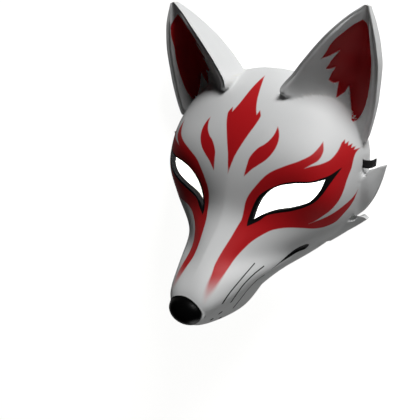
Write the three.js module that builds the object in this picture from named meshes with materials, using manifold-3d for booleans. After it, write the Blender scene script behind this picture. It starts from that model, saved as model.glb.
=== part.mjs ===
// A fox mask lying on its back, face up, with its elastic strap.
// Millimetres. X runs across the face, Y from the chin to the ears, Z up out of the face.
import * as THREE from 'three';
import Module from 'manifold-3d';

const wasm = await Module();
wasm.setup();

// Driving sizes of the face
const faceWidth = 177; // across the temples, at the rim
const faceLength = 191.5; // from the rim at the chin to the rim at the crown
const foreheadRise = 70; // height of the brow above the rim's plane
const snoutRise = 54.5; // how far the snout climbs above the brow
const wall = 3; // thickness of the shell
const socketDepth = 3; // hollow around each eye
const stopSoftness = 4.5; // softness of the turn from the brow into the snout
const bridgeSoftness = 2.5; // softness of the turn from that climb onto the snout's bridge
const lipBulge = 6.5; // how far the lip stands out past the rim at its middle
const lipCornerBulge = 6; // how much further it stands out at its two corners
const jawDraw = 2; // how far the jaw draws back under the lip
const edgeTrim = 0.3; // how far short of the chin and the crown the surface ends

// Driving sizes of the nose, a rounded knob on the end of the snout
const noseWidth = 34;
const noseLength = 23.2;
const noseAbove = 11; // height of the knob above its widest level
const noseBelow = 7; // and its depth below it
const noseSink = 5; // how far its widest level lies below the top of the bridge

// Driving sizes of the ears
const earRim = 5; // width of the band around the ear's hollow
const earHollow = 12; // depth of the hollow
const earFold = 0.66; // where the fold lies across the hollow, as a share of its width

// Driving sizes of the cheek tufts
const tuftCrown = 3; // how far a tuft swells between its edges

// Driving sizes of the strap and the slots that it passes through
const strapWidth = 6.4;
const strapThickness = 1.2;
const slotZ = 11.2;
const slotDepth = 20;
const slotClearance = 0.4;

// Fineness of the surfaces
const faceRows = 40;
const faceColumns = 40;
const cavityRows = 28;
const cavityColumns = 28;
const earRows = 16;
const earColumns = 11;

// Places are given as shares: x of the temples' half width, y as a level, which is 0 at the chin
// and 1 at the crown, and z of the brow's height.
const halfFace = faceWidth / 2;
const crownY = 0.3916 * faceLength;
const chinY = crownY - faceLength;
const bridgeTop = foreheadRise + snoutRise;
const templeLevel = 0.663;
const stopLevel = 0.4465; // where the brow turns into the snout
const bridgeEndLevel = 0.1175; // where the snout turns down to the chin
const noseLevel = 0.109;
const strapLevel = 0.6606;
const eyeCentre = [0.565, 0.546];
const yAt = (level) => chinY + level * faceLength;
const levelOf = (y) => (y - chinY) / faceLength;
const place = ([x, level, z]) => [x * halfFace, yAt(level), z * foreheadRise];

// Lines of the face. Each row is a level and the values there: half width as a share of the
// temples' half width, then slope of the cheek, roundness of that slope, squareness of the side,
// and half width and edge softness of the bridge as shares of the temples' half width.
const rimLines = smoothTable([
  [0, 0],
  [0.02, 0.118],
  [0.05, 0.165],
  [0.085, 0.25],
  [0.166, 0.391],
  [0.236, 0.591],
  [0.317, 0.751],
  [0.352, 0.819],
  [0.427, 0.927],
  [0.503, 0.972],
  [0.603, 0.998],
  [0.663, 1],
]);
const faceLines = smoothTable([
  [0, 0.2, 2, 2.4, 0.079, 0.034],
  [0.1, 0.06, 2, 5.5, 0.062, 0.034],
  [0.15, 0.12, 1.8, 6.5, 0.089, 0.04],
  [0.2, 0.31, 1.5, 4.5, 0.09, 0.045],
  [0.3, 0.6, 1, 8, 0.068, 0.056],
  [0.4, 0.49, 1, 12, 0.056, 0.068],
  [0.5, 0.36, 1.15, 12, 0.034, 0.102],
  [0.655, 0.2, 1.3, 6, 0, 0.136],
  [0.83, 0.12, 1.5, 2.5, 0, 0.136],
  [1, 0, 2, 2.2, 0, 0.136],
]);

// Lines of an ear, from where it sinks into the head (-0.25) through its root (0) to its tip (1):
// the edge next to the forehead, the outer edge, how far the back leans out, the hollow's depth
// as a share of earHollow, and the height of the back.
const earSunk = -0.25;
const earInnerEdge = smoothTable([
  [-0.25, 0.316, 0.88, 0.286],
  [0, 0.288, 0.938, 0.521],
  [0.2, 0.395, 1.008, 0.493],
  [0.45, 0.542, 1.092, 0.486],
  [0.65, 0.661, 1.153, 0.48],
  [0.85, 0.816, 1.22, 0.436],
  [1, 0.956, 1.256, 0.371],
]);
const earOuterEdge = smoothTable([
  [-0.25, 0.904, 0.671, 0.086],
  [0, 1.006, 0.76, 0.171],
  [0.2, 1.073, 0.919, 0.243],
  [0.45, 1.085, 1.037, 0.3],
  [0.65, 1.066, 1.117, 0.343],
  [0.85, 1.031, 1.193, 0.371],
  [1, 0.972, 1.251, 0.371],
]);
const earSection = smoothTable([
  [-0.25, 0.158, 1, 0.029],
  [0, 0.147, 0.92, 0.029],
  [0.2, 0.124, 1, 0.036],
  [0.45, 0.082, 1, 0.057],
  [0.65, 0.047, 0.75, 0.1],
  [0.85, 0.017, 0.33, 0.186],
  [1, 0.006, 0.04, 0.286],
]);

// Eye openings: the two corners, and the lids between them
const eyeInnerCorner = [0.262, 0.433];
const eyeOuterCorner = [0.853, 0.63];
const upperLid = [[0.287, 0.488], [0.345, 0.54], [0.447, 0.581], [0.588, 0.603], [0.734, 0.612]];
const lowerLid = [[0.808, 0.58], [0.723, 0.533], [0.576, 0.498], [0.429, 0.478], [0.333, 0.457]];

// Cheek tufts, seen from the front: the upper edge and the lower edge from the cheek to the tip
const upperTuft = {
  above: [
    [0.859, 0.556, 0.471],
    [0.949, 0.585, 0.286],
    [1.04, 0.611, 0.157],
    [1.113, 0.637, 0.1],
    [1.158, 0.657, 0.079],
  ],
  below: [
    [0.814, 0.41, 0.429],
    [0.944, 0.428, 0.071],
    [1.04, 0.499, 0.05],
    [1.103, 0.577, 0.057],
    [1.158, 0.657, 0.079],
  ],
};
const lowerTuft = {
  above: [
    [0.791, 0.431, 0.486],
    [0.881, 0.418, 0.286],
    [0.949, 0.416, 0.157],
    [1, 0.416, 0.1],
    [1.045, 0.419, 0.071],
  ],
  below: [
    [0.678, 0.279, 0.314],
    [0.768, 0.305, 0.057],
    [0.87, 0.347, 0.05],
    [0.972, 0.387, 0.057],
    [1.045, 0.419, 0.071],
  ],
};

// Strap route, from the tab outside the right temple to the middle of the slack: x, level, height
// and the turn of the band, 0 lying across the slot and 1 standing on its edge
const slackZ = strapWidth / 2 + slotClearance;
const strapRoute = [
  [1.06, strapLevel, slotZ * 0.125, 0],
  [1.059, strapLevel, slotZ * 0.45, 0],
  [1.053, strapLevel, slotZ * 0.75, 0],
  [1.033, strapLevel, slotZ * 0.955, 0],
  [1.006, strapLevel, slotZ, 0],
  [0.932, strapLevel, slotZ, 0],
  [0.87, 0.653, slotZ * 0.93, 0.15],
  [0.814, 0.632, slotZ * 0.71, 0.55],
  [0.774, 0.595, slotZ * 0.48, 0.9],
  [0.74, 0.546, slotZ * 0.35, 1],
  [0.678, 0.467, slackZ, 1],
  [0.576, 0.384, slackZ, 1],
  [0.441, 0.311, slackZ, 1],
  [0.271, 0.253, slackZ, 1],
  [0.09, 0.226, slackZ, 1],
];

function smoothTable(rows) {
  // Returns a function that runs smoothly through the rows and never overshoots between them.
  const steps = rows.slice(1).map((row, i) => row[0] - rows[i][0]);
  const slopes = steps.map((step, i) => rows[i + 1].slice(1).map((v, k) => (v - rows[i][k + 1]) / step));
  const tangents = rows.map((row, i) =>
    row.slice(1).map((_, k) => {
      if (i === 0) return slopes[0][k];
      if (i === rows.length - 1) return slopes[i - 1][k];
      const [a, b] = [slopes[i - 1][k], slopes[i][k]];
      return a * b <= 0 ? 0 : (2 * a * b) / (a + b);
    }),
  );
  return (level) => {
    const at = THREE.MathUtils.clamp(level, rows[0][0], rows[rows.length - 1][0]);
    let i = 0;
    while (i < steps.length - 1 && at > rows[i + 1][0]) i += 1;
    const t = (at - rows[i][0]) / steps[i];
    const h = steps[i];
    return rows[i].slice(1).map((v, k) => {
      const w = rows[i + 1][k + 1];
      const [m, n] = [tangents[i][k] * h, tangents[i + 1][k] * h];
      return v + t * m + t * t * (3 * (w - v) - 2 * m - n) + t * t * t * (2 * (v - w) + m + n);
    });
  };
}

const softPlus = (v, softness) => softness * Math.log1p(Math.exp(v / softness));
const ramp = (v, from, to) => THREE.MathUtils.smoothstep((v - from) / (to - from), 0, 1);
const bell = (u) => Math.exp(-u * u);

function middleHeight(y) {
  // Height of the face along its middle line: the skull's curve, then the snout, then the chin.
  const [stopY, bridgeEnd] = [yAt(stopLevel), yAt(bridgeEndLevel)];
  const back = THREE.MathUtils.clamp((y - stopY) / (crownY - stopY), 0, 1);
  const skull = foreheadRise * (1 - back ** 2.03) ** 0.665;
  const climb = softPlus(stopY - y, stopSoftness) * 1.03;
  const capped = Math.exp(-climb / bridgeSoftness) + Math.exp(-snoutRise / bridgeSoftness);
  const snout = Math.max(-bridgeSoftness * Math.log(capped), 0);
  const down = THREE.MathUtils.clamp((bridgeEnd - y) / (bridgeEnd - chinY), 0, 1);
  return (skull + snout) * (1 - down ** 4) ** 0.25;
}

function halfWidth(y) {
  const level = levelOf(y);
  if (level <= templeLevel) return halfFace * rimLines(level)[0];
  const up = Math.min((level - templeLevel) / (1 - templeLevel), 1);
  return halfFace * (1 - up ** 2.1) ** (1 / 1.97);
}

function socket(x, y) {
  // A shallow hollow along the line of each eye, which rises outwards by three in four.
  const [dx, dy] = [x / halfFace - eyeCentre[0], (y - yAt(eyeCentre[1])) / halfFace];
  const along = (dx * 4 + dy * 3) / 5;
  const across = (dy * 4 - dx * 3) / 5;
  return socketDepth * bell(along / 0.294) * bell(across / 0.124);
}

function facePoint(side, y) {
  // The outer surface, side running from -1 at the left rim to 1 at the right rim.
  const level = levelOf(y);
  const width = halfWidth(y);
  const x = width * Math.abs(side);
  const [slope, round, square, bridge, soft] = faceLines(level);
  const flat = bridge * halfFace * Math.min(1, width / (0.226 * halfFace));
  const spread = (v) => softPlus(v - flat, soft * halfFace) - softPlus(-flat, soft * halfFace);
  const out = Math.min(spread(x) / Math.max(spread(width), 1e-6), 1);
  const edge = Math.sqrt(Math.max(1 - Math.abs(side) ** square, 0));
  const z = Math.max(middleHeight(y) * (1 - slope * out ** round) * edge - socket(x, y), 0);
  // Below the lip the jaw narrows and draws back towards the rim.
  const jaw = ramp(-level, -0.1645, -0.0235) * (1 - ramp(z, 0, bridgeTop / 2));
  const corner = lipCornerBulge * bell((x / halfFace - 0.158) / 0.079);
  const upward = Math.sin(Math.PI * Math.min(z / bridgeTop, 1));
  const lip = (lipBulge + corner) * upward * ramp(-level, -0.0966, 0.018);
  return new THREE.Vector3(Math.sign(side) * x * (1 - 0.55 * jaw), y - lip + jawDraw * jaw, z);
}

function faceNormal(side, y) {
  const d = 0.004;
  const across = facePoint(Math.min(side + d, 1), y).sub(facePoint(Math.max(side - d, -1), y));
  const [low, high] = [levelOf(y) - d / 2, levelOf(y) + d / 2];
  const along = facePoint(side, yAt(Math.min(high, 1))).sub(facePoint(side, yAt(Math.max(low, 0))));
  return across.cross(along).normalize();
}

function loft(loops) {
  // Joins closed loops of points into one closed body, with a fan over each end.
  const count = loops[0].length;
  const points = loops.flat();
  const ends = [loops[0], loops[loops.length - 1]];
  const middle = (loop) => loop.reduce((sum, p) => sum.add(p), new THREE.Vector3()).divideScalar(count);
  points.push(...ends.map(middle));
  const index = [];
  const last = (loops.length - 1) * count;
  for (let i = 0; i < count; i += 1) {
    const j = (i + 1) % count;
    for (let row = 0; row < last; row += count) {
      index.push(row + i, row + j, row + count + j, row + i, row + count + j, row + count + i);
    }
    index.push(points.length - 2, j, i, points.length - 1, last + i, last + j);
  }
  let volume = 0;
  for (let i = 0; i < index.length; i += 3) {
    const [a, b, c] = [points[index[i]], points[index[i + 1]], points[index[i + 2]]];
    volume += a.dot(new THREE.Vector3().crossVectors(b, c));
  }
  if (volume < 0) index.reverse();
  const geometry = new THREE.BufferGeometry().setFromPoints(points);
  geometry.setIndex(index);
  return geometry;
}

function mirrored(geometry) {
  const copy = geometry.clone().scale(-1, 1, 1);
  copy.setIndex(Array.from(copy.index.array).reverse());
  return copy;
}

function solidOf(geometry) {
  return new wasm.Manifold(
    new wasm.Mesh({
      numProp: 3,
      vertProperties: new Float32Array(geometry.attributes.position.array),
      triVerts: new Uint32Array(geometry.index.array),
    }),
  );
}

function geometryOf(solid) {
  const mesh = solid.getMesh();
  const geometry = new THREE.BufferGeometry();
  geometry.setAttribute('position', new THREE.BufferAttribute(mesh.vertProperties, 3));
  geometry.setIndex(new THREE.BufferAttribute(mesh.triVerts, 1));
  geometry.computeVertexNormals();
  return geometry;
}

const steps = (count) => Array.from({ length: count + 1 }, (_, i) => i / count);
const eased = (t) => (1 - Math.cos(Math.PI * t)) / 2;
const sides = (count) => steps(count).map((t) => Math.sin(Math.PI * (t - 0.5)));

function faceBody() {
  const length = faceLength - 2 * edgeTrim;
  const rows = steps(faceRows).map((t) => chinY + edgeTrim + length * eased(t));
  return loft(rows.map((y) => sides(faceColumns).map((side) => facePoint(side, y))));
}

function cavityBody() {
  // The hollow behind the face: the outer surface set in by the wall, and carried on below the rim.
  const length = faceLength - 2 * edgeTrim - wall / 2;
  const rows = steps(cavityRows).map((t) => chinY + edgeTrim + wall / 2 + length * eased(t));
  const loops = rows.map((y) => {
    const loop = sides(cavityColumns).map((side) => {
      const point = facePoint(side, y).addScaledVector(faceNormal(side, y), -wall);
      return point.setZ(Math.max(point.z, 0));
    });
    const below = (p) => new THREE.Vector3(p.x, p.y, -wall);
    return [below(loop[0]), ...loop, below(loop[loop.length - 1])];
  });
  return loft(loops);
}

function noseBody() {
  const rings = steps(10).slice(1, -1).map((t) => {
    const ring = Math.sin(Math.PI * t);
    const rise = Math.cos(Math.PI * t);
    const height = bridgeTop - noseSink + rise * (rise > 0 ? noseAbove : noseBelow);
    return steps(20).slice(1).map((turn) => {
      const angle = 2 * Math.PI * turn;
      const x = (noseWidth / 2) * ring * Math.cos(angle);
      const y = yAt(noseLevel) + (noseLength / 2) * ring * Math.sin(angle);
      return new THREE.Vector3(x, y, height);
    });
  });
  return loft(rings);
}

function earLoop(level) {
  const at = (edge, share) => new THREE.Vector3(...place(edge(share)));
  const [inner, outer] = [at(earInnerEdge, level), at(earOuterEdge, level)];
  const [lean, hollow, backHeight] = earSection(level);
  const backZ = backHeight * foreheadRise;
  const across = outer.clone().sub(inner);
  const band = Math.min(0.16, earRim / Math.max(across.length(), 1e-3));
  const ahead = at(earInnerEdge, Math.min(level + 0.01, 1));
  const behind = at(earInnerEdge, Math.max(level - 0.01, earSunk));
  const run = ahead.sub(behind).setZ(0).normalize();
  const front = steps(earColumns).map((t) => {
    const share = eased(t);
    const inside = THREE.MathUtils.clamp((share - band) / (1 - 2 * band), 0, 1);
    const fall = inside < earFold ? inside / earFold : (1 - inside) / (1 - earFold);
    const point = inner.clone().addScaledVector(across, share);
    return point.setZ(point.z - earHollow * hollow * Math.sin((Math.PI / 2) * fall) ** 0.9);
  });
  const back = steps(earColumns).slice(1, -1).map((t) => {
    const share = eased(t);
    const deep = (1 - Math.abs(2 * share - 1) ** 5) ** 0.25;
    const bulge = lean * halfFace * Math.sin(Math.PI * Math.min(share * 2.2, 1) ** 0.7);
    const point = inner.clone().addScaledVector(across, share);
    point.setZ(point.z * (1 - deep) + backZ * deep);
    return point.add(new THREE.Vector3(-run.y * bulge, run.x * bulge, 0));
  });
  return [...front, ...back.reverse()];
}

function earBody() {
  return loft(steps(earRows).map((t) => earLoop(earSunk + (1 - earSunk) * t)));
}

function tuftBody(edges) {
  // A flat, pointed lock: sections from its upper edge to its lower edge, crowned between them.
  const [above, below] = [edges.above, edges.below].map(
    (line) => new THREE.CatmullRomCurve3(line.map((p) => new THREE.Vector3(...place(p)))),
  );
  const loops = steps(9).map((t) => {
    const share = Math.min(t, 0.985);
    const [high, low] = [above.getPoint(share), below.getPoint(share)];
    const crown = tuftCrown * (1 - share);
    const top = steps(5).map((across) => {
      const point = high.clone().lerp(low, across);
      return point.setZ(point.z + crown * Math.sin(Math.PI * across));
    });
    return [high.clone().setZ(0), ...top, low.clone().setZ(0)];
  });
  return loft(loops);
}

function eyeBody() {
  // The opening's outline, straight through the shell.
  const lid = (points) => {
    const line = points.map(([x, level]) => new THREE.Vector3(...place([x, level, 0])));
    return new THREE.CatmullRomCurve3(line).getPoints(16).slice(0, -1);
  };
  const outline = [
    ...lid([eyeInnerCorner, ...upperLid, eyeOuterCorner]),
    ...lid([eyeOuterCorner, ...lowerLid, eyeInnerCorner]),
  ];
  return loft([-wall, bridgeTop].map((z) => outline.map((p) => p.clone().setZ(z))));
}

function boxBody(size, centre) {
  const corners = [[-1, -1], [1, -1], [1, 1], [-1, 1]];
  const corner = (x, y, z) => {
    const half = new THREE.Vector3(...size).divideScalar(2);
    return half.multiply(new THREE.Vector3(x, y, z)).add(new THREE.Vector3(...centre));
  };
  return loft([-1, 1].map((end) => corners.map(([y, z]) => corner(end, y, z))));
}

function maskShell() {
  const both = (geometry) => [solidOf(geometry), solidOf(mirrored(geometry))];
  const added = [
    solidOf(noseBody()),
    ...both(earBody()),
    ...both(tuftBody(upperTuft)),
    ...both(tuftBody(lowerTuft)),
  ];
  const slot = [slotDepth, strapWidth + 2 * slotClearance, strapThickness + 2 * slotClearance];
  const cut = [
    solidOf(cavityBody()),
    ...both(eyeBody()),
    ...both(boxBody(slot, [halfFace - wall / 2, yAt(strapLevel), slotZ])),
  ];
  let shell = added.reduce((sum, solid) => sum.add(solid), solidOf(faceBody()));
  shell = cut.reduce((rest, solid) => rest.subtract(solid), shell);
  const mesh = new THREE.Mesh(
    geometryOf(shell),
    new THREE.MeshStandardMaterial({ color: 0xe4e4e2, roughness: 0.42, metalness: 0 }),
  );
  mesh.name = 'mask_shell';
  return mesh;
}

function strap() {
  const right = strapRoute.map(([x, level, z, turn]) => ({
    at: new THREE.Vector3(x * halfFace, yAt(level), z),
    turn,
  }));
  const left = right.map(({ at, turn }) => ({ at: at.clone().setX(-at.x), turn })).reverse();
  const points = [...right, ...left];
  const curve = new THREE.CatmullRomCurve3(points.map((p) => p.at));
  const count = 72;
  const loops = steps(count).map((t) => {
    const at = curve.getPoint(t);
    const tangent = curve.getTangent(t);
    const i = Math.min(Math.floor(t * (points.length - 1)), points.length - 2);
    const past = t * (points.length - 1) - i;
    const turn = THREE.MathUtils.lerp(points[i].turn, points[i + 1].turn, past) * (Math.PI / 2);
    // The band's width runs along Y at the slots and along Z where it stands on its edge.
    const flat = new THREE.Vector3(0, 1, 0).addScaledVector(tangent, -tangent.y).normalize();
    const upright = new THREE.Vector3(0, 0, 1).addScaledVector(tangent, -tangent.z).normalize();
    const wide = flat.multiplyScalar(Math.cos(turn)).addScaledVector(upright, Math.sin(turn));
    wide.setLength(strapWidth / 2);
    const thick = wide.clone().cross(tangent).setLength(strapThickness / 2);
    return [[-1, -1], [1, -1], [1, 1], [-1, 1]].map(([a, b]) =>
      at.clone().addScaledVector(wide, a).addScaledVector(thick, b),
    );
  });
  const geometry = loft(loops);
  geometry.computeVertexNormals();
  const mesh = new THREE.Mesh(
    geometry,
    new THREE.MeshStandardMaterial({ color: 0x121214, roughness: 0.9, metalness: 0 }),
  );
  mesh.name = 'strap';
  return mesh;
}

const mask = new THREE.Group();
mask.add(maskShell(), strap());
// The origin is under the middle of the whole mask, on the plane that its rim rests on.
const box = new THREE.Box3().setFromObject(mask, true);
mask.position.y = -(box.min.y + box.max.y) / 2;

export default mask;
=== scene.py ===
import math
import bpy
import bmesh
import numpy as np
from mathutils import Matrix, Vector
from mathutils.bvhtree import BVHTree
from mathutils.kdtree import KDTree


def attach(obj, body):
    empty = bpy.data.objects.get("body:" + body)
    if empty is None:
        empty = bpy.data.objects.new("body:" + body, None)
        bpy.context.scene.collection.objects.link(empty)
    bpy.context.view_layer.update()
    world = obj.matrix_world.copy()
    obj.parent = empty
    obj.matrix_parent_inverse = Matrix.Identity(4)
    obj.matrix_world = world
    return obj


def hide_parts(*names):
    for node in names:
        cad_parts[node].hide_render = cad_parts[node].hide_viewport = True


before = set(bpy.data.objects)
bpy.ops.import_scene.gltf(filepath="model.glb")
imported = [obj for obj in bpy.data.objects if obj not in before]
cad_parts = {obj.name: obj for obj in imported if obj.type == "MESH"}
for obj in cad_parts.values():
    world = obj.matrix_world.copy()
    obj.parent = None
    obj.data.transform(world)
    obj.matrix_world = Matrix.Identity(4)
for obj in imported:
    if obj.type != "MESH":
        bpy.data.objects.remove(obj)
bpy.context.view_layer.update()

scene = bpy.context.scene

# Shapes are worked out in millimetres: x across the face, y up it, z out of it.
# toFrame turns them to metres and to the frame's own origin, which lies 1 mm further up.
mm = 0.001
originY = 1.0167


def toFrame(points):
    places = np.array(points, dtype=float).reshape(-1, 3)
    return (places - np.array([0.0, originY, 0.0])) * mm


def deselectAll():
    for thing in bpy.context.selected_objects:
        thing.select_set(False)


def makeActive(thing):
    deselectAll()
    thing.select_set(True)
    bpy.context.view_layer.objects.active = thing


# The camera looks down on the mask at the photograph's angle
cameraSet = {
    "place": (252.4, 134.9, 437.9),
    "right": (0.8097, 0.0, -0.5869),
    "up": (-0.2024, 0.9386, -0.2793),
    "sensor": 36.0,
    "lens": 36.0 * 600 / 420,
    "near": 0.01,
    "far": 20.0,
}


def makeCamera(values):
    right = Vector(values["right"]).normalized()
    up = Vector(values["up"])
    up = (up - right * up.dot(right)).normalized()
    back = right.cross(up)
    data = bpy.data.cameras.new("viewCamera")
    data.sensor_width = values["sensor"]
    data.lens = values["lens"]
    data.clip_start = values["near"]
    data.clip_end = values["far"]
    camera = bpy.data.objects.new("viewCamera", data)
    scene.collection.objects.link(camera)
    turn = camera.matrix_world.to_3x3()
    for row in range(3):
        turn[row] = (right[row], up[row], back[row])
    camera.matrix_world = turn.to_4x4()
    camera.location = toFrame(values["place"])[0]
    scene.camera = camera


makeCamera(cameraSet)
print("camera made")


# Small helpers for colours, nodes, lines and meshes
def linearColour(hexCode):
    parts = [int(hexCode[i:i + 2], 16) / 255 for i in (1, 3, 5)]
    parts = [c / 12.92 if c <= 0.04045 else ((c + 0.055) / 1.055) ** 2.4 for c in parts]
    return (*parts, 1.0)


def addNode(tree, kind, settings=None, values=None, links=None):
    node = tree.nodes.new(kind)
    for name, value in (settings or {}).items():
        setattr(node, name, value)
    for name, value in (values or {}).items():
        node.inputs[name].default_value = value
    for name, source in (links or {}).items():
        tree.links.new(source, node.inputs[name])
    return node


def newMaterial(name):
    material = bpy.data.materials.new(name)
    material.use_nodes = True
    material.node_tree.nodes.clear()
    return material, material.node_tree


def addOutput(tree, shader):
    addNode(tree, "ShaderNodeOutputMaterial", links={"Surface": shader.outputs[0]})


def smoothLine(points, steps):
    # The same rounded line through points as the source's, with steps places on each span.
    p = np.array(points, dtype=float)
    p = np.vstack([2 * p[0] - p[1], p, 2 * p[-1] - p[-2]])
    line = []
    for i in range(1, len(p) - 2):
        a, b, c, d = p[i - 1:i + 3]
        gap = [max(math.sqrt(np.linalg.norm(v)), 1e-4) for v in (b - a, c - b, d - c)]
        m = ((b - a) / gap[0] - (c - a) / (gap[0] + gap[1]) + (c - b) / gap[1]) * gap[1]
        n = ((c - b) / gap[1] - (d - b) / (gap[1] + gap[2]) + (d - c) / gap[2]) * gap[1]
        for t in np.arange(steps) / steps:
            line.append(b + m * t + (3 * (c - b) - 2 * m - n) * t * t
                        + (2 * (b - c) + m + n) * t ** 3)
    line.append(p[-2])
    return np.array(line)


def smoothTable(rows):
    # Values that run smoothly through the rows, never overshooting between them.
    rows = np.array(rows, dtype=float)
    levels, values = rows[:, 0], rows[:, 1:]
    step = np.diff(levels)
    slope = np.diff(values, axis=0) / step[:, None]
    tangent = np.zeros_like(values)
    tangent[0], tangent[-1] = slope[0], slope[-1]
    a, b = slope[:-1], slope[1:]
    total = np.where(a + b == 0, 1.0, a + b)
    tangent[1:-1] = np.where(a * b <= 0, 0.0, 2 * a * b / total)

    def read(level):
        at = np.clip(np.asarray(level, dtype=float), levels[0], levels[-1])
        i = np.clip(np.searchsorted(levels, at) - 1, 0, len(step) - 1)
        t = ((at - levels[i]) / step[i])[..., None]
        h = step[i][..., None]
        v, w, m, n = values[i], values[i + 1], tangent[i] * h, tangent[i + 1] * h
        return v + t * m + t * t * (3 * (w - v) - 2 * m - n) + t ** 3 * (2 * (v - w) + m + n)
    return read


def addMesh(name, points, faces):
    mesh = bpy.data.meshes.new(name)
    mesh.from_pydata([tuple(p) for p in toFrame(points)], [], faces)
    mesh.update()
    piece = bpy.data.objects.new(name, mesh)
    scene.collection.objects.link(piece)
    return piece


def loftPiece(name, loops):
    # Joins closed loops of points into one closed body, with a fan over each end.
    loops = np.array(loops)
    rows, count = loops.shape[:2]
    points = np.vstack([loops.reshape(-1, 3), loops[0].mean(0), loops[-1].mean(0)])
    faces = []
    for row in range(rows - 1):
        for i in range(count):
            j = (i + 1) % count
            a, b = row * count, (row + 1) * count
            faces.append((a + i, a + j, b + j, b + i))
    last = (rows - 1) * count
    for i in range(count):
        j = (i + 1) % count
        faces.append((len(points) - 2, j, i))
        faces.append((len(points) - 1, last + i, last + j))
    piece = addMesh(name, points, faces)
    bm = bmesh.new()
    bm.from_mesh(piece.data)
    bmesh.ops.triangulate(bm, faces=bm.faces[:])
    if bm.calc_volume(signed=True) < 0:
        bmesh.ops.reverse_faces(bm, faces=bm.faces[:])
    bm.to_mesh(piece.data)
    bm.free()
    return piece


def mirrorPiece(piece):
    copy = piece.copy()
    copy.data = piece.data.copy()
    copy.name = piece.name + "Left"
    scene.collection.objects.link(copy)
    bm = bmesh.new()
    bm.from_mesh(copy.data)
    bmesh.ops.scale(bm, vec=(-1, 1, 1), verts=bm.verts[:])
    bmesh.ops.reverse_faces(bm, faces=bm.faces[:])
    bm.to_mesh(copy.data)
    bm.free()
    return copy


def joinShapes(body, parts, operation):
    # Adds the parts to the body, or cuts them out of it, one after another.
    for part in parts:
        makeActive(body)
        joint = body.modifiers.new("joint", "BOOLEAN")
        joint.operation = operation
        joint.solver = "MANIFOLD"
        joint.object = part
        bpy.ops.object.modifier_apply(modifier="joint")
        bpy.data.objects.remove(part, do_unlink=True)


# The strap: a flat woven elastic that runs through a slot in each temple
faceSize = {"width": 177.0, "length": 191.5, "brow": 70.0, "snout": 54.5}
half = faceSize["width"] / 2
crownY = 0.3916 * faceSize["length"]
chinY = crownY - faceSize["length"]
bridgeTop = faceSize["brow"] + faceSize["snout"]


def place(x, level, z):
    return np.array([x * half, chinY + level * faceSize["length"], z * faceSize["brow"]])


strapSet = {
    "width": 6.4,
    "thickness": 1.2,
    "slotZ": 11.2,
    "ribs": 5,
    "ribDepth": 0.16,  # as a share of half the thickness
    "edgePower": 14,  # how square the band's edges are
    "colour": "#101012",
    "steps": 8,  # places on each span of the route
}
slotAt = 0.6606
route = [  # x, level, height and turn of the band, from the right tab to the middle
    (1.06, slotAt, 1.4, 0), (1.059, slotAt, 5.04, 0), (1.053, slotAt, 8.4, 0),
    (1.033, slotAt, 10.696, 0), (1.006, slotAt, 11.2, 0), (0.932, slotAt, 11.2, 0),
    (0.87, 0.653, 10.416, 0.15), (0.814, 0.632, 7.952, 0.55), (0.774, 0.595, 5.376, 0.9),
    (0.74, 0.546, 3.92, 1), (0.678, 0.467, 3.6, 1), (0.576, 0.384, 3.6, 1),
    (0.441, 0.311, 3.6, 1), (0.271, 0.253, 3.6, 1), (0.09, 0.226, 3.6, 1),
]


def makeStrap(values):
    rightSide = [(*place(x, level, z / faceSize["brow"]), turn) for x, level, z, turn in route]
    leftSide = [(-x, y, z, turn) for x, y, z, turn in reversed(rightSide)]
    stops = np.array(rightSide + leftSide)
    steps = values["steps"]
    line = smoothLine(stops[:, :3], steps)
    at = np.arange(len(line)) / steps
    turns = np.interp(at, np.arange(len(stops)), stops[:, 3]) * math.pi / 2
    run = np.gradient(line, axis=0)
    run /= np.linalg.norm(run, axis=1)[:, None]
    along = np.concatenate([[0], np.cumsum(np.linalg.norm(np.diff(line, axis=0), axis=1))])
    # A section with round edges and shallow ribs, as a woven elastic has
    ribs = values["ribs"]
    across = np.linspace(-1, 1, ribs * 4 + 1)
    rise = 1 - values["ribDepth"] * np.cos(across * math.pi * ribs) ** 2
    rise = rise * (1 - np.abs(across) ** values["edgePower"]) ** 0.5
    section = [(a, r) for a, r in zip(across, rise)]
    section += [(a, -r) for a, r in zip(across[::-1], rise[::-1])][1:-1]
    loops = []
    for p, t, turn in zip(line, run, turns):
        flat = np.array([0.0, 1.0, 0.0]) - t * t[1]
        upright = np.array([0.0, 0.0, 1.0]) - t * t[2]
        wide = flat / np.linalg.norm(flat) * math.cos(turn)
        wide = wide + upright / np.linalg.norm(upright) * math.sin(turn)
        wide /= np.linalg.norm(wide)
        thick = np.cross(wide, t)
        thick /= np.linalg.norm(thick)
        loops.append([p + wide * a * values["width"] / 2 + thick * b * values["thickness"] / 2
                      for a, b in section])
    band = loftPiece("strapBand", loops)
    # A map along and across the band, in millimetres, for its weave
    count = len(section)
    weave = band.data.uv_layers.new(name="weave")
    wideAt = np.array([a for a, _ in section]) * values["width"] / 2
    for loop in band.data.loops:
        row, i = divmod(loop.vertex_index, count)
        row = min(row, len(line) - 1)
        i = i if loop.vertex_index < count * len(line) else 0
        weave.data[loop.index].uv = (along[row], wideAt[i])
    path = [tuple(p) for p in toFrame(line)]
    return band, path, along[-1] * mm


strapBand, strapPath, strapLength = makeStrap(strapSet)
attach(strapBand, "root")
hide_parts("strap")
print("strap made", round(strapLength, 4), "m")


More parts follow.
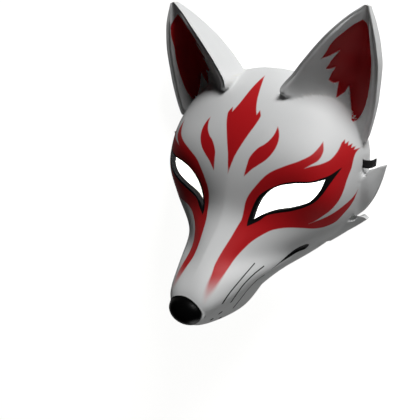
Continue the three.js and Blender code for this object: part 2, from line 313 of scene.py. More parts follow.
# The floor and the lights
stageSet = {
    "floor": "#f7f7f6",
    # name: height in metres and glow
    "sheets": {"paleFloor": (-0.0004, 1.0), "bounceFloor": (-0.0012, 0.19)},
    "size": 4.0,
    # name: bearing from the ears' side, height in degrees, distance, size in metres, watts
    "lamps": {
        "keySoftbox": (26, 9, 1.2, 0.5, 12.2),
        "lowSoftbox": (165, 6, 1.2, 0.9, 2.6),
        "skySoftbox": (0, 90, 1.6, 2.4, 0.3),
    },
    "lampsAimAt": (0, 0, 0.05),
    # A small light table under the hollow, seen through the eyes: size in metres, watts
    "underTable": (0.13, 0.1, 0.26),
    "underTableAt": (0, -0.02, 0.001),
}


def makeFloor(name, values):
    level, glow = values["sheets"][name]
    deselectAll()
    bpy.ops.mesh.primitive_grid_add(x_subdivisions=8, y_subdivisions=8, size=values["size"],
                                    location=(0, 0, level))
    floor = bpy.context.object
    floor.name = name
    material, tree = newMaterial(name + "Paper")  # matt white paper, lit through from under
    shader = addNode(tree, "ShaderNodeBsdfPrincipled", values={
        "Base Color": linearColour(values["floor"]), "Roughness": 0.9,
        "Emission Color": linearColour(values["floor"]), "Emission Strength": glow})
    addOutput(tree, shader)
    floor.data.materials.append(material)
    return floor


def makeStage(values):
    # The upper sheet is for the eye alone; the lower one throws a dimmer light up on the mask
    floor = makeFloor("paleFloor", values)
    floor.visible_diffuse = False
    floor.visible_glossy = False
    bounce = makeFloor("bounceFloor", values)
    bounce.visible_camera = False
    for name, (bearing, height, distance, size, power) in values["lamps"].items():
        data = bpy.data.lights.new(name, "AREA")
        data.shape = "DISK"
        data.size = size
        data.energy = power
        lamp = bpy.data.objects.new(name, data)
        scene.collection.objects.link(lamp)
        turn, rise = math.radians(bearing), math.radians(height)
        way = Vector((math.cos(rise) * math.sin(turn), math.cos(rise) * math.cos(turn),
                      math.sin(rise)))
        lamp.location = way * distance + Vector(values["lampsAimAt"])
        lamp.rotation_euler = (-way).to_track_quat("-Z", "Y").to_euler()
    data = bpy.data.lights.new("underTable", "AREA")
    data.shape = "ELLIPSE"
    data.size, data.size_y, data.energy = values["underTable"]
    lamp = bpy.data.objects.new("underTable", data)
    scene.collection.objects.link(lamp)
    lamp.location = values["underTableAt"]
    lamp.rotation_euler = (math.pi, 0, 0)
    lamp.visible_glossy = False  # so it lays no glare on the eyes' dark edges
    world = bpy.data.worlds.new("studioWorld")
    world.use_nodes = True
    world.node_tree.nodes["Background"].inputs["Color"].default_value = (1, 1, 1, 1)
    world.node_tree.nodes["Background"].inputs["Strength"].default_value = 1.0
    world.cycles_visibility.diffuse = False
    world.cycles_visibility.glossy = False
    scene.world = world
    scene.view_settings.view_transform = "Standard"


makeStage(stageSet)
print("stage made")


# The shell's form. Rows of the tables are levels, from 0 at the chin to 1 at the crown.
shellSet = {
    "wall": 3.0,
    "collar": 2.6,  # how much thicker the wall is round the eyes
    "socket": 3.0,
    "eyeAt": (0.565, 0.546),  # the middle of the eye: share of half the width, and level
    "socketReach": (0.294, 0.124),
    "collarReach": (0.45, 0.25),
    "stopSoftness": 4.5,
    "bridgeSoftness": 2.5,
    "fullBridgeFrom": 0.226,
    "skullPowers": (2.03, 0.665),
    "crownPowers": (2.1, 1.97),
    "chinPower": 4,
    "climb": 1.03,
    "rows": 214,
    "columns": 160,
    "crowding": (0.55, 0.45),  # how far the columns crowd to the rim, and stay even
    "inside": 84,
    "evenOver": 4.0,  # rows that the blur reaches over, of 230 down the face
    "evenRows": 230,
    "rowsAlong": 0.12,  # the rows are evenly spaced along this line beside the middle
    "rowSamples": 6001,
}
# The lip and jaw. Levels are where each starts and is whole; corner is its place and reach.
jawSet = {"lip": 6.5, "lipLevels": (0.0966, -0.018), "cornerSwell": 6.0,
          "corner": (0.158, 0.079), "draw": 2.0, "narrow": 0.55, "levels": (0.1645, 0.0235)}
noseSet = {"width": 31.6, "length": 23.2, "above": 11.0, "below": 7.0, "sink": 5.0,
           "level": 0.109, "blend": 0.5, "least": 0.02, "mostPull": -50.0, "mostPush": 30.0,
           "paint": (-94.6, 15.6, 11.2)}  # middle and radii of the black, seen from the front
templeLevel, stopLevel, bridgeEndLevel = 0.663, 0.4465, 0.1175
rimLines = smoothTable([  # level, half width
    (0, 0), (0.02, 0.118), (0.05, 0.165), (0.085, 0.25), (0.166, 0.391), (0.236, 0.591),
    (0.317, 0.751), (0.352, 0.819), (0.427, 0.927), (0.503, 0.972), (0.603, 0.998), (0.663, 1)])
faceLines = smoothTable([  # level, slope, roundness, squareness, bridge, bridge softness
    (0, 0.2, 2, 2.4, 0.079, 0.034), (0.1, 0.06, 2, 5.5, 0.062, 0.034),
    (0.15, 0.12, 1.8, 6.5, 0.089, 0.04), (0.2, 0.31, 1.5, 4.5, 0.09, 0.045),
    (0.3, 0.6, 1, 8, 0.068, 0.056), (0.4, 0.49, 1, 12, 0.056, 0.068),
    (0.5, 0.36, 1.15, 12, 0.034, 0.102), (0.655, 0.2, 1.3, 6, 0, 0.136),
    (0.83, 0.12, 1.5, 2.5, 0, 0.136), (1, 0, 2, 2.2, 0, 0.136)])


def softPlus(v, softness):
    return softness * np.logaddexp(0, v / softness)


def ramp(v, start, end):
    t = np.clip((v - start) / (end - start), 0, 1)
    return t * t * (3 - 2 * t)


def bell(u):
    return np.exp(-u * u)


def yAt(level):
    return chinY + level * faceSize["length"]


def roundEye(amount, x, y, reach):
    # The amount in the middle of the eye, fading out along and across its slant.
    atX, atLevel = shellSet["eyeAt"]
    dx, dy = x / half - atX, (y - yAt(atLevel)) / half
    return (amount * bell((dx * 4 + dy * 3) / 5 / reach[0])
            * bell((dy * 4 - dx * 3) / 5 / reach[1]))


def middleHeight(y):
    stopY, bridgeEnd = yAt(stopLevel), yAt(bridgeEndLevel)
    back = np.clip((y - stopY) / (crownY - stopY), 0, 1)
    power, root = shellSet["skullPowers"]
    skull = faceSize["brow"] * (1 - back ** power) ** root
    climb = softPlus(stopY - y, shellSet["stopSoftness"]) * shellSet["climb"]
    soft = shellSet["bridgeSoftness"]
    snout = -soft * np.log(np.exp(-climb / soft) + np.exp(-faceSize["snout"] / soft))
    down = np.clip((bridgeEnd - y) / (bridgeEnd - chinY), 0, 1)
    chin = (1 - down ** shellSet["chinPower"]) ** (1 / shellSet["chinPower"])
    return (skull + np.maximum(snout, 0)) * chin


def halfWidth(y):
    level = (y - chinY) / faceSize["length"]
    up = np.clip((level - templeLevel) / (1 - templeLevel), 0, 1)
    low = rimLines(level)[..., 0]
    power, root = shellSet["crownPowers"]
    return half * np.where(level <= templeLevel, low, (1 - up ** power) ** (1 / root))


def facePoint(side, y):
    # The outer surface, side running from -1 at the left rim to 1 at the right rim.
    level = (y - chinY) / faceSize["length"]
    width = halfWidth(y)
    x = width * np.abs(side)
    slope, rounded, square, bridge, soft = np.moveaxis(faceLines(level), -1, 0)
    flat = bridge * half * np.minimum(1, width / (shellSet["fullBridgeFrom"] * half))
    soft = soft * half
    spread = softPlus(x - flat, soft) - softPlus(-flat, soft)
    whole = softPlus(width - flat, soft) - softPlus(-flat, soft)
    out = np.minimum(spread / np.maximum(whole, 1e-6), 1)
    edge = np.sqrt(np.maximum(1 - np.abs(side) ** square, 0))
    socket = roundEye(shellSet["socket"], x, y, shellSet["socketReach"])
    z = np.maximum(middleHeight(y) * (1 - slope * out ** rounded) * edge - socket, 0)
    # Below the lip the jaw narrows and draws back towards the rim
    start, whole = jawSet["levels"]
    jaw = ramp(-level, -start, -whole) * (1 - ramp(z, 0, bridgeTop / 2))
    at, reach = jawSet["corner"]
    corner = jawSet["cornerSwell"] * bell((x / half - at) / reach)
    lip = (jawSet["lip"] + corner) * np.sin(math.pi * np.minimum(z / bridgeTop, 1))
    start, whole = jawSet["lipLevels"]
    lip = lip * ramp(-level, -start, -whole)
    return np.stack([np.sign(side) * x * (1 - jawSet["narrow"] * jaw),
                     y - lip + jawSet["draw"] * jaw, z], -1)


def gridNormals(grid):
    down = np.gradient(grid, axis=0)
    over = np.gradient(grid, axis=1)
    normal = np.cross(over, down)
    return normal / np.maximum(np.linalg.norm(normal, axis=-1), 1e-9)[..., None]


def evened(grid, rows):
    # Blurs the rows a little down the face, so no crease is left where the tables' rows meet.
    reach = shellSet["evenOver"] * rows / shellSet["evenRows"]
    result = grid.copy()
    total = np.ones((rows, 1, 1))
    for step in range(1, int(reach * 2.5) + 1):
        weight = math.exp(-0.5 * (step / reach) ** 2)
        part = np.zeros_like(total)
        part[step:rows - step] = weight
        pair = np.zeros_like(grid)
        pair[step:rows - step] = (grid[2 * step:] + grid[:rows - 2 * step]) * weight
        result += pair
        total += 2 * part
    return result / total


def faceGrid(rows, columns, trim):
    # Rows a steady distance apart down the middle, columns crowded towards the rim.
    y = np.linspace(chinY + trim, crownY - trim, shellSet["rowSamples"])
    line = facePoint(np.full_like(y, shellSet["rowsAlong"]), y)
    run = np.concatenate([[0], np.cumsum(np.linalg.norm(np.diff(line, axis=0), axis=1))])
    ys = np.interp(np.linspace(0, run[-1], rows), run, y)
    turn = np.linspace(-1, 1, columns)
    crowded, even = shellSet["crowding"]
    side = np.sin(turn * math.pi / 2) * crowded + turn * even
    sides, heights = np.meshgrid(side, ys)
    return evened(facePoint(sides, heights), rows)


def noseCentre():
    return np.array([0.0, yAt(noseSet["level"]), bridgeTop - noseSet["sink"]])


def swellNose(grid):
    # Pushes the end of the snout out to the knob, with a soft crease round it.
    normal = gridNormals(grid)
    gap = grid - noseCentre()
    tall = np.where(gap[..., 2] > 0, noseSet["above"], noseSet["below"])
    radius = np.stack([np.full_like(tall, noseSet["width"] / 2),
                       np.full_like(tall, noseSet["length"] / 2), tall], -1)
    q, m = gap / radius, normal / radius
    a, b, c = (m * m).sum(-1), (q * m).sum(-1), (q * q).sum(-1) - 1
    inside = b * b - a * c
    lowest, highest = noseSet["mostPull"], noseSet["mostPush"]
    reach = np.where(inside > 0, (-b + np.sqrt(np.maximum(inside, 0))) / a, lowest)
    push = softPlus(np.clip(reach, lowest, highest), noseSet["blend"])
    return grid + normal * np.where(push > noseSet["least"], push, 0)[..., None]


def makeFace():
    grid = swellNose(faceGrid(shellSet["rows"], shellSet["columns"], 0.3))
    return loftPiece("foxShell", grid)


def makeCavity():
    grid = faceGrid(shellSet["inside"], shellSet["inside"], 1.0)
    collar = roundEye(shellSet["collar"], np.abs(grid[..., 0]), grid[..., 1],
                      shellSet["collarReach"])
    inner = grid - gridNormals(grid) * (shellSet["wall"] + collar)[..., None]
    inner[..., 2] = np.maximum(inner[..., 2], 0)
    inner = inner[2:-2]
    below = inner[:, [0, -1]].copy()
    below[..., 2] = -shellSet["wall"]
    return loftPiece("cavity", np.concatenate([below[:, :1], inner, below[:, 1:]], axis=1))


# The ears: rows run from where they sink into the head to their tips
earSet = {
    "rim": 5.0,
    "widestRim": 0.16,  # as a share of the ear's width, where the ear narrows
    "hollow": 12.0,
    "fold": 0.66,
    "groove": 0.6,
    "grooveAt": (2.2, 0.8),  # distance from the edge, and reach
    "rimSlope": 1.4,
    "rimSlopeOver": 4.5,
    "fullReliefFrom": 20.0,  # narrower ear rows get less of the groove and slope
    "conch": 5.0,
    "conchAt": (0.16, 0.42),  # along the ear and across it
    "conchReach": (0.2, 0.3),
    "rows": 80,
    "columns": 50,
}
earSunk = -0.25
earInner = smoothTable([
    (-0.25, 0.316, 0.88, 0.286), (0, 0.288, 0.938, 0.521), (0.2, 0.395, 1.008, 0.493),
    (0.45, 0.542, 1.092, 0.486), (0.65, 0.661, 1.153, 0.48), (0.85, 0.816, 1.22, 0.436),
    (1, 0.946, 1.263, 0.371)])
earOuter = smoothTable([
    (-0.25, 0.904, 0.671, 0.086), (0, 1.006, 0.76, 0.171), (0.2, 1.073, 0.919, 0.243),
    (0.45, 1.085, 1.037, 0.3), (0.65, 1.066, 1.117, 0.343), (0.85, 1.031, 1.193, 0.371),
    (1, 0.986, 1.257, 0.371)])
earSection = smoothTable([
    (-0.25, 0.158, 1, 0.029), (0, 0.147, 0.92, 0.029), (0.2, 0.124, 1, 0.036),
    (0.45, 0.082, 1, 0.057), (0.65, 0.047, 0.75, 0.1), (0.85, 0.017, 0.33, 0.186),
    (1, 0.006, 0.04, 0.286)])


def eased(t):
    return (1 - np.cos(math.pi * t)) / 2


def makeEar():
    loops = []
    for level in np.linspace(earSunk, 1, earSet["rows"]):
        inner, outer = place(*earInner(level)), place(*earOuter(level))
        lean, hollow, backZ = earSection(level)
        across = outer - inner
        width = max(np.linalg.norm(across), 1e-3)
        band = min(earSet["widestRim"], earSet["rim"] / width)
        ahead = place(*earInner(min(level + 0.01, 1)))
        behind = place(*earInner(max(level - 0.01, earSunk)))
        run = ahead - behind
        run[2] = 0
        run /= np.linalg.norm(run)
        even = np.linspace(0, 1, earSet["columns"])
        share = eased(even) * 0.5 + even * 0.5
        inside = np.clip((share - band) / (1 - 2 * band), 0, 1)
        fold = earSet["fold"]
        fall = np.where(inside < fold, inside / fold, (1 - inside) / (1 - fold))
        front = inner + across * share[:, None]
        front[:, 2] -= earSet["hollow"] * hollow * np.sin(math.pi / 2 * fall) ** 0.9
        edgeGap = np.minimum(share, 1 - share) * width
        large = min(1, width / earSet["fullReliefFrom"])
        at, reach = earSet["grooveAt"]
        front[:, 2] -= earSet["groove"] * bell((edgeGap - at) / reach) * large
        slope = ramp((1 - share) * width, 0, earSet["rimSlopeOver"])
        front[:, 2] -= earSet["rimSlope"] * large * slope
        (along, over), (long, wide) = earSet["conchAt"], earSet["conchReach"]
        front[:, 2] -= (earSet["conch"] * bell((level - along) / long)
                        * bell((inside - over) / wide))
        deep = (1 - np.abs(2 * share - 1) ** 5) ** 0.25
        bulge = lean * half * np.sin(math.pi * np.minimum(share * 2.2, 1) ** 0.7)
        back = inner + across * share[:, None]
        back[:, 2] = back[:, 2] * (1 - deep) + backZ * faceSize["brow"] * deep
        back[:, 0] += -run[1] * bulge
        back[:, 1] += run[0] * bulge
        loops.append(np.vstack([front, back[1:-1][::-1]]))
    return loftPiece("ear", loops)


# The cheek tufts: upper and lower edge from the cheek to the tip
tuftSet = {
    "crown": 3.0,
    "tip": 0.985,  # the crown dies out towards the tip, but not quite
    "columns": 21,
    "upper": {
        "above": [(0.859, 0.582, 0.4), (0.949, 0.612, 0.24), (1.04, 0.63, 0.171),
                  (1.105, 0.647, 0.114), (1.158, 0.657, 0.079)],
        "below": [(0.814, 0.41, 0.429), (0.975, 0.438, 0.121), (1.07, 0.507, 0.1),
                  (1.125, 0.581, 0.079), (1.158, 0.657, 0.079)]},
    "lower": {
        "above": [(0.791, 0.431, 0.42), (0.881, 0.418, 0.24), (0.949, 0.416, 0.157),
                  (1, 0.43, 0.11), (1.045, 0.419, 0.071)],
        "below": [(0.678, 0.279, 0.314), (0.768, 0.305, 0.057), (0.87, 0.347, 0.05),
                  (0.972, 0.387, 0.057), (1.045, 0.419, 0.071)]},
}


def makeTuft(name, edges):
    above = smoothLine([place(*p) for p in edges["above"]], 12)
    below = smoothLine([place(*p) for p in edges["below"]], 12)
    loops = []
    for i in range(len(above)):
        share = min(i / (len(above) - 1), tuftSet["tip"])
        high, low = above[i], below[i]
        if i == len(above) - 1:
            high, low = high * 0.3 + above[i - 1] * 0.7, low * 0.3 + below[i - 1] * 0.7
        t = np.linspace(0, 1, tuftSet["columns"])[:, None]
        top = high + (low - high) * t
        top[:, 2] += tuftSet["crown"] * (1 - share) * np.sin(math.pi * t[:, 0])
        base = np.array([high, low])
        base[:, 2] = 0
        loops.append(np.vstack([base[:1], top, base[1:]]))
    return loftPiece(name, loops)


# The eye openings, cut straight through
eyeSet = {
    "upper": [(0.262, 0.433), (0.287, 0.488), (0.345, 0.54), (0.447, 0.581), (0.588, 0.603),
              (0.734, 0.612), (0.824, 0.625)],
    "lower": [(0.824, 0.625), (0.8, 0.582), (0.723, 0.533), (0.576, 0.498), (0.429, 0.478),
              (0.333, 0.457), (0.262, 0.433)],
}


def lidLine(points):
    return smoothLine([place(x, level, 0) for x, level in points], 12)[:-1]


def eyeOutline():
    return np.vstack([lidLine(eyeSet["upper"]), lidLine(eyeSet["lower"])])


def makeEye():
    outline = eyeOutline()
    return loftPiece("eyeCut", [outline + [0, 0, -3], outline + [0, 0, bridgeTop]])


slotSet = {"clearance": 0.8, "depth": 20.0}


def makeSlot():
    deselectAll()
    clearance = slotSet["clearance"]
    centre = toFrame((half - shellSet["wall"] / 2, yAt(slotAt), strapSet["slotZ"]))[0]
    bpy.ops.mesh.primitive_cube_add(size=1, location=centre, scale=(
        slotSet["depth"] * mm, (strapSet["width"] + clearance) * mm,
        (strapSet["thickness"] + clearance) * mm))
    slot = bpy.context.object
    bpy.ops.object.transform_apply(location=True, rotation=True, scale=True)
    return slot


softSet = {"touch": 0.01, "clearOfRim": 1.5,
           "passes": [(4.0, 6), (2.0, 8)]}  # reach from the seam, and number of turns


def surfaceOf(piece):
    return BVHTree.FromObject(piece, bpy.context.evaluated_depsgraph_get())


def softenSeams(piece, face, parts, values):
    # Relaxes the creases where the ears and tufts grow out of the face.
    bm = bmesh.new()
    bm.from_mesh(piece.data)
    touch = values["touch"] * mm
    seams = [v.co.copy() for v in bm.verts if face.find_nearest(v.co)[3] < touch
             and any(part.find_nearest(v.co)[3] < touch for part in parts)]
    tree = KDTree(len(seams))
    for i, place in enumerate(seams):
        tree.insert(place, i)
    tree.balance()
    free = [v for v in bm.verts if v.co.z > values["clearOfRim"] * mm]
    gaps = [tree.find(v.co)[2] for v in free]
    for reach, turns in values["passes"]:
        near = [v for v, gap in zip(free, gaps) if gap < reach * mm]
        for _ in range(turns):
            bmesh.ops.smooth_vert(bm, verts=near, factor=0.5,
                                  use_axis_x=True, use_axis_y=True, use_axis_z=True)
    bm.to_mesh(piece.data)
    bm.free()


def withMirror(piece):
    return [piece, mirrorPiece(piece)]


foxShell = makeFace()
tufts = [makeTuft(name + "Tuft", tuftSet[name]) for name in ("upper", "lower")]
grown = withMirror(makeEar()) + withMirror(tufts[0]) + withMirror(tufts[1])
faceSurface, grownSurfaces = surfaceOf(foxShell), [surfaceOf(part) for part in grown]
joinShapes(foxShell, grown, "UNION")
softenSeams(foxShell, faceSurface, grownSurfaces, softSet)
outside = surfaceOf(foxShell)
print("shell joined", len(foxShell.data.polygons))
joinShapes(foxShell, [makeCavity()] + withMirror(makeEye()) + withMirror(makeSlot()), "DIFFERENCE")
print("shell cut", len(foxShell.data.polygons))


# The painting. Outlines are seen from the front, in millimetres, on the right half of the face;
# each list is a smooth run and the runs meet in sharp corners.
paintSet = {
    "red": "#c41a20",
    "white": "#e6e7e7",
    "black": "#0b0b0c",
    "noseBlack": "#060606",
    "earsUnder": 34,  # the height that the ears' red stays under
    "noseOver": 90,  # and the height that the nose's black starts at
    "edge": 0.5,  # half the width of the red's soft edge
    # The stripe on the snout fades out towards the nose: how much, and from where to where
    "softer": (2.2, 64, 84),
    "softEnd": 90,
    "thinner": (0.85, 68, 85),
    "eyePatch": [
        [(16.3, -33.7), (18.1, -17.4), (24.4, -6.2), (33.6, 4.9), (44.4, 11.3), (54.4, 16.0),
         (61.2, 20.5), (64.2, 25.6), (65.4, 29.5)],
        [(65.4, 29.5), (67.7, 22.6), (66.6, 17.1), (62.4, 13.6), (58.7, 10.9)],
        [(58.7, 10.9), (62.6, 12.5), (68.4, 14.3), (73.0, 17.0), (74.8, 20.2), (75.8, 24.1),
         (75.9, 28.0)],
        [(75.9, 28.0), (76.9, 30.4)], [(76.9, 30.4), (77.8, 27.1)], [(77.8, 27.1), (79.2, 28.9)],
        [(79.2, 28.9), (79.6, 25.6)], [(79.6, 25.6), (81.3, 26.9)], [(81.3, 26.9), (81.5, 23.9)],
        [(81.5, 23.9), (83.2, 25.0)], [(83.2, 25.0), (83.0, 22.3)], [(83.0, 22.3), (85.2, 22.9)],
        [(85.2, 22.9), (84.3, 20.0), (84.3, 10.1), (83.5, 1.4), (82.6, -7.4), (80.5, -15.0),
         (76.9, -21.2), (72.2, -26.1), (67.1, -30.6), (63.3, -32.9)],
        [(63.3, -32.9), (67.7, -30.6), (73.8, -27.3), (78.6, -23.7), (82.1, -19.9),
         (84.8, -15.9), (87.0, -9.4)],
        [(87.0, -9.4), (85.4, -17.1), (83.6, -22.9), (81.1, -27.9), (77.2, -33.8),
         (72.3, -36.4), (67.2, -37.1), (59.6, -36.6), (50.6, -36.8), (44.6, -37.8),
         (38.8, -39.7), (33.5, -43.2), (28.6, -47.3), (25.1, -51.7), (20.9, -59.6),
         (19.8, -65.3), (19.3, -70.8), (18.5, -76.7), (16.0, -85.0)],
        [(16.0, -85.0), (14.5, -81.2), (12.9, -74.0), (11.9, -68.2), (10.7, -62.8),
         (11.2, -55.7), (13.2, -46.4), (15.0, -38.0), (16.3, -33.7)],
    ],
    "smallFlame": [
        [(31.3, 38.1), (31.1, 33.4), (29.3, 29.1), (25.7, 25.0), (21.6, 22.1), (18.2, 18.1),
         (16.0, 14.0), (15.2, 8.8), (14.0, -0.3)],
        [(14.0, -0.3), (19.7, 6.0), (24.6, 10.0), (29.4, 14.0), (33.1, 18.8), (35.2, 23.9),
         (35.5, 29.1), (33.8, 34.2), (31.3, 38.1)],
    ],
    "bigFlame": [
        [(0.0, 70.0), (2.5, 64.6), (4.6, 59.0), (6.4, 53.7), (8.9, 48.0), (11.4, 43.9)],
        [(11.4, 43.9), (12.6, 47.4)],
        [(12.6, 47.4), (15.0, 43.5), (14.9, 42.0), (13.3, 37.0), (10.0, 30.0), (6.5, 22.0),
         (3.4, 14.4), (1.5, 7.0), (0.0, 0.0)],
        [(0.0, 0.0), (-1.5, 20.0), (-1.5, 50.0), (0.0, 70.0)],
    ],
    "earPatch": [
        [(82.6, 115.3), (85.6, 111.9), (88.3, 105.7), (89.4, 97.2), (89.4, 84.9), (88.8, 72.4),
         (86.6, 59.6), (82.9, 48.8), (76.7, 41.2), (75.1, 42.3)],
        [(75.1, 42.3), (72.0, 52.0), (69.5, 67.3)],
        [(69.5, 67.3), (66.4, 62.0), (63.0, 59.2)],
        [(63.0, 59.2), (60.3, 56.2)],
        [(60.3, 56.2), (61.0, 63.0), (62.0, 69.4)],
        [(62.0, 69.4), (58.6, 68.4), (55.7, 70.7)],
        [(55.7, 70.7), (58.4, 76.0), (61.9, 80.9)],
        [(61.9, 80.9), (58.4, 79.4), (55.4, 79.1)],
        [(55.4, 79.1), (60.5, 86.5), (66.5, 93.6)],
        [(66.5, 93.6), (60.0, 89.6), (54.1, 86.9)],
        [(54.1, 86.9), (58.0, 92.0), (61.6, 97.6), (65.4, 102.0), (70.8, 106.8),
         (76.5, 111.6), (83.1, 115.7)],
    ],
    "eyeLine": [
        [(21.3, -37.9), (21.0, -33.3), (23.2, -23.0), (27.2, -13.8), (33.4, -8.0), (45.7, -1.2),
         (54.3, 0.9), (64.0, 1.8), (70.0, 4.0), (74.9, 6.2), (80.6, 11.6)],
        [(80.6, 11.6), (76.5, 1.0), (72.7, -7.6), (68.2, -13.9), (60.6, -19.2), (51.4, -23.3),
         (41.2, -26.2), (33.8, -28.8), (29.0, -33.2), (21.3, -37.9)],
    ],
    # Thin lines on the flank: x, y, z and half the line's width at each point
    "lines": [
        [(23.8, -88.5, 106.4, 0.85), (26.3, -81.2, 100.0, 0.6), (29.0, -74.8, 92.9, 0.48),
         (31.1, -69.1, 84.5, 0.42), (32.7, -64.2, 76.0, 0.4)],
        [(24.0, -92.4, 94.7, 1.1), (28.0, -84.4, 92.3, 0.8), (30.5, -78.5, 88.1, 0.6),
         (34.7, -71.5, 80.6, 0.5), (38.1, -67.1, 71.0, 0.45)],
        [(18.0, -105.0, 82.0, 1.3), (24.1, -95.6, 82.0, 1.05), (29.4, -86.6, 80.0, 0.8),
         (33.9, -79.5, 75.0, 0.6), (38.2, -75.0, 70.0, 0.5)],
        [(15.1, -104.1, 96.7, 2.0), (15.3, -104.0, 96.6, 2.0)],
        [(10.1, -109.4, 101.3, 1.5), (10.3, -109.4, 101.2, 1.5)],
        [(9.2, -114.7, 89.0, 1.9), (9.4, -114.6, 88.9, 1.9)],
        [(56.6, -57.1, 39.9, 4.1), (53.2, -58.8, 44.3, 3.0), (49.1, -62.7, 49.4, 1.9),
         (45.3, -66.9, 56.7, 0.7), (43.3, -69.2, 60.9, 0.4), (41.2, -71.6, 64.9, 0.15)],
    ],
}


def closedOutline(runs):
    return np.vstack([smoothLine(run, 10 if len(run) > 2 else 1)[:-1] for run in runs])


def insideBy(points, outline):
    # Signed distance from an outline seen from the front, positive inside it, and the way to it.
    a, b = outline, np.roll(outline, -1, axis=0)
    near = np.full(len(points), 1e9)
    way = np.zeros((len(points), 2))
    inside = np.zeros(len(points), dtype=bool)
    for p, q in zip(a, b):
        edge = q - p
        gap = points - p
        t = np.clip((gap @ edge) / max(edge @ edge, 1e-12), 0, 1)
        off = gap - t[:, None] * edge
        dist = np.linalg.norm(off, axis=1)
        closer = dist < near
        near[closer] = dist[closer]
        way[closer] = off[closer]
        if p[1] != q[1]:
            crosses = (p[1] > points[:, 1]) != (q[1] > points[:, 1])
            inside ^= crosses & (points[:, 0] < p[0] + (points[:, 1] - p[1]) * edge[0] / edge[1])
    return np.where(inside, near, -near), way / np.maximum(near, 1e-9)[:, None]


farOff = 14.0  # the depth kept where no edge is near, in millimetres


def onSurface(points, normals, outline, reach=farOff):
    # The same distance, measured along the sloping surface instead of straight across.
    low, high = outline.min(0) - reach, outline.max(0) + reach
    flat = points[:, :2]
    close = ((flat > low) & (flat < high)).all(1)
    result = np.full(len(points), -reach)
    depth, way = insideBy(flat[close], outline)
    along = (way * normals[close, :2]).sum(1)
    result[close] = depth / np.sqrt(np.clip(1 - along ** 2, 0.04, 1))
    return np.clip(result, -reach, reach)


lineSteps = 12  # places on each span of a thin line
lineSpan = 40  # no line reaches further than this from its middle, in millimetres


def lineReach(points, lines):
    # Half a line's width less the distance from it, for the nearest line.
    eyePlace = toFrame(cameraSet["place"])[0]
    best = np.full(len(points), -9.0)
    for line in lines:
        line = np.array(line)
        spots = smoothLine(line, lineSteps) if len(line) > 2 else line
        places = []
        for p in spots:
            way = toFrame(p[:3])[0] - eyePlace
            near = outside.ray_cast(Vector(eyePlace), Vector(way))
            places.append(np.array(near[0] or toFrame(p[:3])[0]) / mm + [0, originY, 0])
        places = np.array(places)
        close = (np.abs(points - places.mean(0)) < lineSpan).all(1)
        for i in range(len(places) - 1):
            p, q = places[i], places[i + 1]
            edge = q - p
            gap = points[close] - p
            t = np.clip((gap @ edge) / max(edge @ edge, 1e-12), 0, 1)
            dist = np.linalg.norm(gap - t[:, None] * edge, axis=1)
            reach = spots[i, 3] * (1 - t) + spots[i + 1, 3] * t - dist
            best[close] = np.maximum(best[close], reach)
    return best


def shellPoints(mesh):
    points = np.empty(len(mesh.vertices) * 3)
    mesh.vertices.foreach_get("co", points)
    normals = np.empty(len(mesh.vertices) * 3)
    mesh.vertices.foreach_get("normal", normals)
    points = points.reshape(-1, 3) / mm + [0, originY, 0]
    normals = normals.reshape(-1, 3)
    flip = np.sign(points[:, 0]) + (points[:, 0] == 0)
    points[:, 0] *= flip
    normals[:, 0] *= flip
    return points, normals, flip


def earDepth(points, normals):
    ear = onSurface(points, normals, closedOutline(paintSet["earPatch"]))
    upward = normals[:, 2] > 0.1
    return np.where(upward & (points[:, 2] < paintSet["earsUnder"]), ear, -farOff)


def paintDepths(points, normals):
    depth = {}
    patch = onSurface(points, normals, closedOutline(paintSet["eyePatch"]))
    small = onSurface(points, normals, closedOutline(paintSet["smallFlame"]))
    big = onSurface(points, normals, closedOutline(paintSet["bigFlame"]))
    ear = earDepth(points, normals)
    depth["red"] = np.maximum.reduce([patch, small, big, ear])
    depth["black"] = onSurface(points, normals, closedOutline(paintSet["eyeLine"]))
    nose = noseSet["paint"]
    share = np.linalg.norm((points[:, :2] - [0, nose[0]]) / nose[1:], axis=1)
    knob = np.clip((1 - share) * nose[2], -9, 9)
    depth["nose"] = np.where(points[:, 2] > paintSet["noseOver"], knob, -9)
    depth["line"] = lineReach(points, paintSet["lines"])
    return depth


refineSet = {"levels": 3, "near": 1.5, "shortest": 0.5}


def refine(piece, values):
    # Splits the faces near painted edges, and those near thin lines more often.
    for level in range(values["levels"]):
        mesh = piece.data
        points, normals, _ = shellPoints(mesh)
        depth = paintDepths(points, normals)
        size = values["near"] / 2 ** level
        edgeNear = np.minimum.reduce([np.abs(depth[k]) for k in ("red", "black", "nose")]) < size
        lineNear = np.abs(depth["line"]) < size
        wanted = lineNear | edgeNear if level == 0 else lineNear
        bm = bmesh.new()
        bm.from_mesh(mesh)
        bm.verts.ensure_lookup_table()
        edges = [e for e in bm.edges if wanted[e.verts[0].index] and wanted[e.verts[1].index]
                 and e.calc_length() > values["shortest"] * mm / 2 ** level]
        bmesh.ops.subdivide_edges(bm, edges=edges, cuts=1, use_grid_fill=True)
        bmesh.ops.triangulate(bm, faces=[f for f in bm.faces if len(f.verts) > 3])
        bm.to_mesh(mesh)
        bm.free()


def keepDepths(piece):
    points, normals, _ = shellPoints(piece.data)
    depth = paintDepths(points, normals)
    down = -points[:, 1]
    amount, start, end = paintSet["softer"]
    depth["soft"] = (paintSet["edge"]
                     + amount * ramp(down, start, end) * (down < paintSet["softEnd"]))
    amount, start, end = paintSet["thinner"]
    depth["fade"] = 1 - amount * ramp(down, start, end)
    for name, values in depth.items():
        kept = piece.data.attributes.new(name + "Depth", "FLOAT", "POINT")
        kept.data.foreach_set("value", values.astype(np.float32))


# Within the second reach of an eye opening, the hollow's inside gets the dark edge paint as
# painted shade round the eyes.
insideSet = {"from": 0.04, "edgePaintAndShadeReach": 8.0}


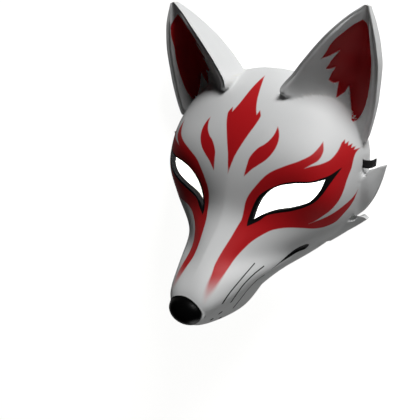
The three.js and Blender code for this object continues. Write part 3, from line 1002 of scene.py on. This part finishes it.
def sortFaces(piece):
    # The outside is painted and the hollow is bare. The eye openings' walls are painted dark, and
    # the same dark on the hollow's inside round them is painted shade.
    outline = eyeOutline()[:, :2]
    mesh = piece.data
    centres = np.empty(len(mesh.polygons) * 3)
    mesh.polygons.foreach_get("center", centres)
    flat = centres.reshape(-1, 3) / mm + [0, originY, 0]
    depth, _ = insideBy(np.stack([np.abs(flat[:, 0]), flat[:, 1]], 1), outline)
    slots = np.zeros(len(mesh.polygons), dtype=np.int32)
    for i, polygon in enumerate(mesh.polygons):
        gap = outside.find_nearest(polygon.center)[3]
        if gap > insideSet["from"] * mm:
            # Near the eye openings: the walls' dark paint, and painted shade on the hollow's
            # inside round them.
            slots[i] = 2 if abs(depth[i]) < insideSet["edgePaintAndShadeReach"] else 1
    return slots


reliefSet = {"ear": 1.2, "mouth": 1.2}


def carve(piece):
    # Sinks the red of the ears under the white locks, and the mouth into the cheek.
    points, normals, sides = shellPoints(piece.data)
    ear = earDepth(points, normals)
    mouth = lineReach(points, paintSet["lines"][-1:])
    sink = reliefSet["ear"] * ramp(ear, -0.3, 0.6) + reliefSet["mouth"] * ramp(mouth, -0.2, 1.2)
    normals[:, 0] *= sides
    places = toFrame(points * np.stack([sides, np.ones_like(sides), np.ones_like(sides)], 1))
    places -= normals * sink[:, None] * mm
    piece.data.vertices.foreach_set("co", places.ravel())
    piece.data.update()


refine(foxShell, refineSet)
keepDepths(foxShell)
faceSlots = sortFaces(foxShell)
carve(foxShell)
print("shell painted", len(foxShell.data.polygons))


# Finishes
lacquerSet = {"rough": 0.46, "noseRough": 0.3, "gloss": 0.22, "blackEdge": 0.22,
              "noseEdge": 0.25}


def lacquerMaterial():
    # Moulded resin under satin white lacquer, with brushed red and black: soft, even highlights
    material, tree = newMaterial("satinWhiteLacquer")

    def depthOf(name):
        kept = addNode(tree, "ShaderNodeAttribute", {"attribute_name": name + "Depth"})
        return kept.outputs["Fac"]

    def maskOf(depth, edge):
        mask = addNode(tree, "ShaderNodeMapRange", {"interpolation_type": "SMOOTHSTEP"},
                       {"From Min": -edge, "From Max": edge}, {"Value": depth})
        return mask.outputs[0]

    def mathOf(operation, first, second):
        node = addNode(tree, "ShaderNodeMath", {"operation": operation},
                       links={0: first, 1: second})
        return node.outputs[0]

    def mixOver(below, colour, mask):
        mix = addNode(tree, "ShaderNodeMix", {"data_type": "RGBA"}, {7: linearColour(colour)})
        tree.links.new(mask, mix.inputs[0])
        if isinstance(below, str):
            mix.inputs[6].default_value = linearColour(below)
        else:
            tree.links.new(below, mix.inputs[6])
        return mix.outputs[2]

    redMask = maskOf(mathOf("DIVIDE", depthOf("red"), depthOf("soft")), 1.0)
    faded = mathOf("MULTIPLY", redMask, depthOf("fade"))
    black = mathOf("MAXIMUM", depthOf("black"), depthOf("line"))
    blackMask = maskOf(black, lacquerSet["blackEdge"])
    noseMask = maskOf(depthOf("nose"), lacquerSet["noseEdge"])
    colour = mixOver(paintSet["white"], paintSet["red"], faded)
    colour = mixOver(colour, paintSet["black"], blackMask)
    colour = mixOver(colour, paintSet["noseBlack"], noseMask)
    rough = addNode(tree, "ShaderNodeMapRange",
                    values={"To Min": lacquerSet["rough"], "To Max": lacquerSet["noseRough"]},
                    links={"Value": noseMask})
    shader = addNode(tree, "ShaderNodeBsdfPrincipled",
                     values={"IOR": 1.5, "Specular IOR Level": lacquerSet["gloss"]},
                     links={"Base Color": colour, "Roughness": rough.outputs[0]})
    addOutput(tree, shader)
    return material


def plainMaterial(name, colour, roughness, gloss=0.5):
    material, tree = newMaterial(name)
    addOutput(tree, addNode(tree, "ShaderNodeBsdfPrincipled", values={
        "Base Color": linearColour(colour), "Roughness": roughness, "IOR": 1.5,
        "Specular IOR Level": gloss}))
    return material


foxShell.data.materials.clear()
# The resin gives a pale, dull inside. The eye openings' walls have a dark, dull paint, as a dark
# rim to each eye, and the same dark laid on the hollow's inside round them is painted shade.
for finish in (lacquerMaterial(), plainMaterial("bareMouldedResin", "#e6e6e3", 0.6),
               plainMaterial("eyeEdgePaintAndPaintedShade", "#1b1b1c", 0.9, 0.05)):
    foxShell.data.materials.append(finish)
foxShell.data.polygons.foreach_set("material_index", faceSlots)
# Woven rubber thread: black and without shine
strapBand.data.materials.append(plainMaterial("blackElastic", strapSet["colour"], 0.85))
creaseAngle = math.radians(32)
for piece in (foxShell, strapBand):
    makeActive(piece)
    bpy.ops.object.shade_smooth_by_angle(angle=creaseAngle)
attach(foxShell, "root")
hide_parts("mask_shell")
deselectAll()
print("finishes made")
